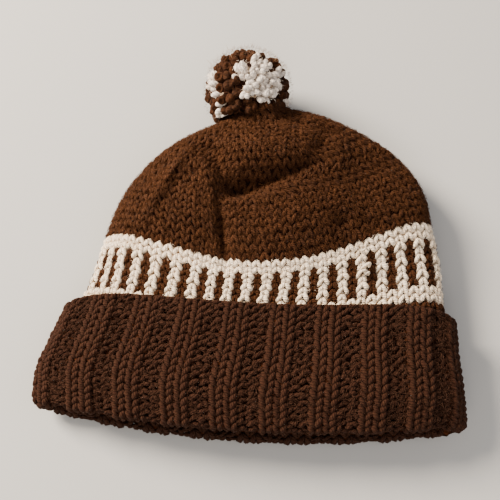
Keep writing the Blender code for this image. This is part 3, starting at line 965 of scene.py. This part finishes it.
def edge_chain():
    """The chain along the free edge, an upper and a lower run for each column of the ribbing."""
    place = np.sort(rib_columns(KNIT_OFFSETS + PURL_OFFSETS))
    place = np.concatenate((place, place + 0.5 / len(place)))
    row = np.full(len(place), CUFF_ROWS - 0.15)
    width = look_up(cuff, "turn", place, row)[:, None] / (RIB_REPEATS * 4)
    shaken = unevenness(len(place), 4)
    upper = np.arange(len(place))[:, None] < len(place) // 2

    def path(t):
        swing = 2 * t - 1
        along = np.where(upper, 0.9, 0.1) + (0.5 + 0.4 * shaken[1]) * swing
        out = np.where(upper, -1.5, -0.2) + 0.2 * shaken[2] - 1.2 * np.abs(swing) ** 2.4
        return 0.62 * swing * width + 0.3 * shaken[0], along, out

    return lay_yarn(cuff, FINE_BEAD, place, row, path, np.full(upper.shape, CHAIN_RADIUS))


joined_mesh("cuff_edge_chain", [edge_chain()], shaded_rib_yarn, "ribbed_cuff")

# %% Ribbing round the fold and inside
joined_mesh("cuff_inner_ribbing", [ridge_part(HIDDEN_BEAD, inner_rows),
                                   valley_part(HIDDEN_BEAD, inner_rows)],
            shaded_rib_yarn, "ribbed_cuff")

# %% [markdown]
# Pompom
#
# A pompom is a bundle of cut yarn tied round its middle and trimmed to a ball. Where the ends of
# the brown yarn face out, they show as soft balls pressed against each other. The cream yarn lies
# in bundles that open like a flower, so one sees the sides of its ends as they lean away from the
# bundle's middle. Both are beads like those of the stitches, bent along their own path. Each
# colour is spread evenly over the whole ball first, and then only the ends in its patches stay.

# %% Tables of the pompom
dice = np.random.default_rng(41)
POMPOM_CENTRE = np.array((-12.0, 89.3, 27.0))
POMPOM_RADIUS = 28.8
POMPOM_GAP = 0.6
FULL_LEAN = 0.42
PRESSED = 0.04
CROWN_END_HEIGHT = 23.0
CROWN_END_DEPTH = 16.0
CROWN_END_ABOVE = 19.0
CROWN_END_BELOW = 27.0
Patch = namedtuple("Patch", "name x y z reach")
CREAM_PATCHES = (
    Patch("bundle_middle", 0.27, -0.23, 0.93, 0.36),
    Patch("bundle_upper_left", -0.14, 0.05, 0.97, 0.15),
    Patch("bundle_left", -0.20, -0.08, 0.96, 0.13),
    Patch("bundle_top", 0.18, 0.22, 0.94, 0.15),
    Patch("bundle_top_right", 0.36, 0.14, 0.91, 0.15),
    Patch("bundle_right", 0.58, -0.14, 0.78, 0.22),
    Patch("bundle_lower_right", 0.45, -0.42, 0.77, 0.24),
    Patch("bundle_lower_left", 0.04, -0.47, 0.87, 0.17),
    Patch("left_edge_top", -0.87, 0.06, 0.50, 0.13),
    Patch("left_edge", -0.85, -0.14, 0.53, 0.14),
    Patch("left_middle", -0.70, -0.44, 0.55, 0.09),
    Patch("left_low", -0.60, -0.64, 0.46, 0.07),
    Patch("left_bottom", -0.60, -0.76, 0.24, 0.12),
    Patch("right_top", 0.74, 0.24, 0.63, 0.10),
    Patch("right_low", 0.92, -0.33, 0.23, 0.12),
    Patch("far_side", 0.10, 0.95, -0.30, 0.55),
    Patch("under_right", 0.60, 0.10, -0.79, 0.50),
)
Ends = namedtuple("Ends", "count thin thick short long bend_least bend_most")
BROWN_ENDS = Ends(195, 2.65, 3.3, 6.8, 8.2, 0.2, 1.2)
CREAM_ENDS = Ends(880, 1.6, 2.15, 7.0, 9.5, 1.5, 5.0)


def towards(patch):
    """The direction of a patch from the ball's middle."""
    return unit(np.array((patch.x, patch.y, patch.z)))


def in_patch(direction, patch):
    """Which directions lie in a patch."""
    return np.arccos(np.clip(direction @ towards(patch), -1, 1)) < patch.reach


def in_cream(direction):
    """Which directions lie in any of the cream patches."""
    return np.any([in_patch(direction, patch) for patch in CREAM_PATCHES], axis=0)


print(len(CREAM_PATCHES), "cream patches")


# %% Helpers of the pompom
def spread_over_ball(count):
    """Nearly even directions over a ball, on a spiral that has been shaken a little."""
    k = np.arange(count) + 0.5
    height = 1 - 2 * k / count
    angle = k * math.pi * (3 - math.sqrt(5))
    flat = np.sqrt(1 - height ** 2)
    direction = np.stack((flat * np.cos(angle), flat * np.sin(angle), height), axis=1)
    return unit(direction + dice.normal(0, 0.6 / math.sqrt(count), direction.shape))


def cut_ends(bead, direction, lean, ends):
    """Cut ends of yarn: out from the middle, then bent aside near the surface."""
    size = (len(direction), 1)
    aside = unit(lean - direction * np.sum(lean * direction, axis=1, keepdims=True))
    length = dice.uniform(ends.short, ends.long, size)
    leaning = np.clip(np.linalg.norm(lean, axis=1, keepdims=True) / FULL_LEAN, 0.15, 1.0)
    bend = dice.uniform(ends.bend_least, ends.bend_most, size) * leaning
    tip = POMPOM_RADIUS - 2.4 - dice.uniform(0, 2.3, size)
    radius = dice.uniform(ends.thin, ends.thick, size)

    def centre(t):
        out = tip - length + length * np.sin(t * math.pi / 2)
        sway = bend * t ** 2.2
        return direction[:, None] * out[..., None] + aside[:, None] * sway[..., None]

    t = bead.along[None, :]
    ahead = unit(centre(np.clip(t + 0.03, 0, 1.03)) - centre(np.clip(t - 0.03, 0, 1)))
    side = np.cross(direction, aside)[:, None]
    lobes = 1 + 0.05 * np.cos(3 * bead.around[None, :] - 5.0 * t + 9 * radius)
    points = tube(bead, centre(t), -side, np.cross(ahead, side),
                  radius * bead.girth[None, :] * lobes)
    return bead, settle(points), yarn_map(bead, length)


def crown_end(x, z):
    """How far back the crown's gathered end reaches, at a distance across and a height."""
    fold_x = [section.left_x for section in BODY] + [section.right_x for section in BODY[::-1]]
    fold_y = [section.left_y for section in BODY] + [section.right_y for section in BODY[::-1]]
    edge = np.interp(x, fold_x, fold_y)
    above = np.maximum(z - CROWN_END_HEIGHT, 0.0) / CROWN_END_ABOVE
    below = np.maximum(CROWN_END_HEIGHT - z, 0.0) / CROWN_END_BELOW
    return edge - CROWN_END_DEPTH * (above ** 2.2 + below ** 5)


def settle(points):
    """Press the ball against the crown's end, over and under it, and rest it on the floor."""
    points = points + POMPOM_CENTRE
    nearest = crown_end(points[..., 0], points[..., 2]) + POMPOM_GAP
    past = np.minimum(points[..., 1] - nearest, 0.0)
    points[..., 1] = np.where(past < 0, nearest + PRESSED * past, points[..., 1])
    points[..., 2] = np.maximum(points[..., 2], 0.4 + 0.02 * np.abs(points[..., 0]))
    return (points + SHIFT) * MM


# %% Make the pompom's ends
BROWN_BEAD = yarn_bead(12, 10, taper=0.7)
CREAM_BEAD = yarn_bead(10, 8, taper=0.6)
brown_way = spread_over_ball(BROWN_ENDS.count)
brown_way = brown_way[~in_cream(brown_way)]
cream_way = spread_over_ball(CREAM_ENDS.count)
cream_way = cream_way[in_cream(cream_way)]
cream_lean = cream_way - towards(CREAM_PATCHES[0]) + dice.normal(0, 0.2, cream_way.shape)
brown_lean = dice.normal(0, 1, brown_way.shape)
for name, material, bead, direction, lean, ends in (
        ("pompom_brown_ends", brown_ends, BROWN_BEAD, brown_way, brown_lean, BROWN_ENDS),
        ("pompom_cream_ends", cream_ends, CREAM_BEAD, cream_way, cream_lean, CREAM_ENDS)):
    thing = joined_mesh(name, [cut_ends(bead, direction, lean, ends)], material, "pompom")

# %% The pompom's core
bm = bmesh.new()
bmesh.ops.create_icosphere(bm, subdivisions=4, radius=POMPOM_RADIUS - 6.0)
ball = np.array([vertex.co[:] for vertex in bm.verts])
for face in bm.faces:
    face.material_index = int(in_cream(unit(np.array([face.calc_center_median()])))[0])
for vertex, point in zip(bm.verts, settle(ball)):
    vertex.co = point
core_mesh = bpy.data.meshes.new("pompom_core")
bm.to_mesh(core_mesh)
bm.free()
core_mesh.shade_smooth()
core_mesh.uv_layers.new(name="stitches")
# The core shows between the ends in the grounds' painted shade.
core_mesh.materials.append(shaded_brown_ground)
core_mesh.materials.append(shaded_cream_ground)
stands_for(put_in_scene("pompom_core", core_mesh), "pompom")
tie_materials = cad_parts["pompom_tie"].data.materials
tie_materials.clear()
tie_materials.append(brown_yarn)
print("pompom:", len(brown_way), "brown ends and", len(cream_way), "cream ones")

# %% [markdown]
# Fuzz
#
# Worsted yarn never has a clean edge: loose fibres lie over the stitches, blur the gaps between
# them and stand up along the outline. A thin closed spindle, bent once in its middle, stands for
# a few fibres together. They are laid with the same function as the yarn, so they follow every
# fold, and each costs six triangles, which allows thousands of them.

# %% Helpers for loose fibres
dice = np.random.default_rng(59)
SPINDLE = yarn_bead(3, 2)
FIBRE_GIRTHS = (0.07, 0.12)


def fluff(name, base, glow):
    """Loose fibres: plain and matt, from the yarn's own colour to a lighter one."""
    material, tree, surface = matt_material(name, 1.0, 0.1)
    shade = add(tree, "Attribute", attribute_name="shade").outputs["Fac"]
    tone = add(tree, "Math", {0: shade, 1: 0.25, 2: 0.4}, operation="MULTIPLY_ADD",
               use_clamp=True)
    colour = add(tree, "Mix", {"Factor": tone, 6: linear(base), 7: linear(glow)},
                 data_type="RGBA")
    plug(tree, surface, {"Base Color": colour.outputs[2]})
    return material


def scattered(surface, count, first, last):
    """Random places and rows on the front of a surface, even over its area."""
    rows = np.linspace(first, last, 200)
    weight = np.cumsum(np.interp(rows, surface.rows, surface.turn.mean(axis=1)))
    row = np.interp(dice.uniform(weight[0], weight[-1], count), weight, rows)
    return dice.uniform(0, FRONT_SHARE, count), row


def on_band(count, cream):
    """Random places on the band's front where its stitches are of one colour."""
    middle, row = scattered(body, count, 0, BAND_ROWS)
    odd = np.floor(middle * STITCHES) % 2 == 1
    striped = (row >= STRIPE_FIRST) & (row < STRIPE_LAST + 1)
    chosen = np.where(striped, odd, row >= 1) == cream
    return drifted(middle[chosen], row[chosen]), row[chosen]


def loose_fibres(surface, where, longest=3.2):
    """Fibres that arch over the stitches and dip into them again; some keep standing up."""
    size = (len(where[0]), 1)
    heading = dice.uniform(0, 2 * math.pi, size)
    half = dice.uniform(1.2, longest, size)
    arch = dice.uniform(0.1, 0.9, size)
    curl = dice.normal(0, 0.8, size)
    stand = np.where(dice.uniform(0, 1, size) < 0.12, dice.uniform(0.8, 2.2, size), -0.5)

    def path(t):
        swing = 2 * t - 1
        bow = curl * (1 - swing ** 2)
        return (half * swing * np.cos(heading) - bow * np.sin(heading),
                half * swing * np.sin(heading) + bow * np.cos(heading),
                -0.4 + (arch + 0.4) * (1 - swing ** 2) + np.clip(swing, 0, 1) * stand)

    return lay_yarn(surface, SPINDLE, *where, path, dice.uniform(0.07, 0.13, size))


def ball_fibres(directions, reach):
    """Fibres that stand off the pompom and bend aside, a few of them twice as far."""
    size = (len(directions), 1, 1)
    aside = unit(np.cross(directions, dice.normal(0, 1, directions.shape)))[:, None]
    directions = directions[:, None]
    out = POMPOM_RADIUS - 2.5 + dice.uniform(0, 1.0, size)
    length = dice.uniform(0.8, reach, size) * np.where(dice.uniform(0, 1, size) < 0.15, 2.0, 1.0)
    t = SPINDLE.along[None, :, None]
    centre = directions * (out + length * t) + aside * dice.uniform(0.5, 3.0, size) * t ** 2
    girth = dice.uniform(*FIBRE_GIRTHS, size[:2]) * SPINDLE.girth[None, :]
    points = tube(SPINDLE, centre, -np.cross(directions, aside), aside, girth)
    return SPINDLE, settle(points), np.zeros_like(points)


# %% Lay the loose fibres
brown_fluff = fluff("chestnut_fluff", "#331a0a", "#5c3921")
# The cuff's fibres are the brown ones, painted darker and greyer as painted shade.
shaded_rib_fluff = fluff("chestnut_rib_fluff_shaded", "#2e180d", "#543a2c")
cream_fluff = fluff("cream_fluff", "#d9c8b4", "#fff6ea")
# Where the light comes through from behind, single fibres look paler than the yarn.
halo_fluff = fluff("halo_fluff", "#74563e", "#a88c6d")
halo_way = spread_over_ball(1400)
halo_way = halo_way[halo_way[:, 1] > 0.3]
fuzz_way = spread_over_ball(3400)
brown_fuzz_way, cream_fuzz_way = fuzz_way[~in_cream(fuzz_way)], fuzz_way[in_cream(fuzz_way)]
for name, material, node, part in (
        ("crown_fuzz", brown_fluff, "crown",
         loose_fibres(body, scattered(body, 11000, BAND_ROWS, LAST_ROW))),
        ("band_cream_fuzz", cream_fluff, "patterned_band",
         loose_fibres(body, on_band(3200, True), longest=1.8)),
        ("band_brown_fuzz", brown_fluff, "patterned_band",
         loose_fibres(body, on_band(4200, False), longest=1.6)),
        ("cuff_fuzz", shaded_rib_fluff, "ribbed_cuff",
         loose_fibres(cuff, scattered(cuff, 9000, 0, CUFF_ROWS))),
        ("pompom_brown_fuzz", brown_fluff, "pompom", ball_fibres(brown_fuzz_way[::3], 1.3)),
        ("pompom_halo", halo_fluff, "pompom", ball_fibres(halo_way, 3.6)),
        ("pompom_cream_fuzz", cream_fluff, "pompom", ball_fibres(cream_fuzz_way, 2.0))):
    joined_mesh(name, [part], material, node)

# %% Snags on the band
Snag = namedtuple("Snag", "name place row width height lean radius")
SNAGS = (
    Snag("loop_at_the_right", 0.377, 6.9, 2.3, 4.2, 0.9, 1.0),
    Snag("loop_beside_it", 0.3745, 6.2, 1.9, 3.4, -0.7, 0.95),
    Snag("frayed_end", 0.3785, 5.8, 1.5, 2.8, 0.4, 0.85),
    Snag("tuft_under_the_edge", 0.378, 9.4, 1.7, 3.0, -0.8, 0.55),
)
SNAG_BEAD = yarn_bead(6, 24, taper=0.3)


def snag(loop):
    """A single strand pulled out of its stitch, which stands off as a small loop."""
    def path(t):
        turn = math.pi * t
        across = -loop.width * np.cos(turn) + loop.lean * np.sin(turn)
        along = loop.height * 0.5 * np.sin(turn) ** 0.8
        return across, along, -0.8 + loop.height * np.sin(np.clip(turn, 0, math.pi)) ** 0.7

    return lay_yarn(body, SNAG_BEAD, loop.place, loop.row, path, np.full((1, 1), loop.radius))


joined_mesh("band_snags", [snag(loop) for loop in SNAGS], cream_yarn, "patterned_band")
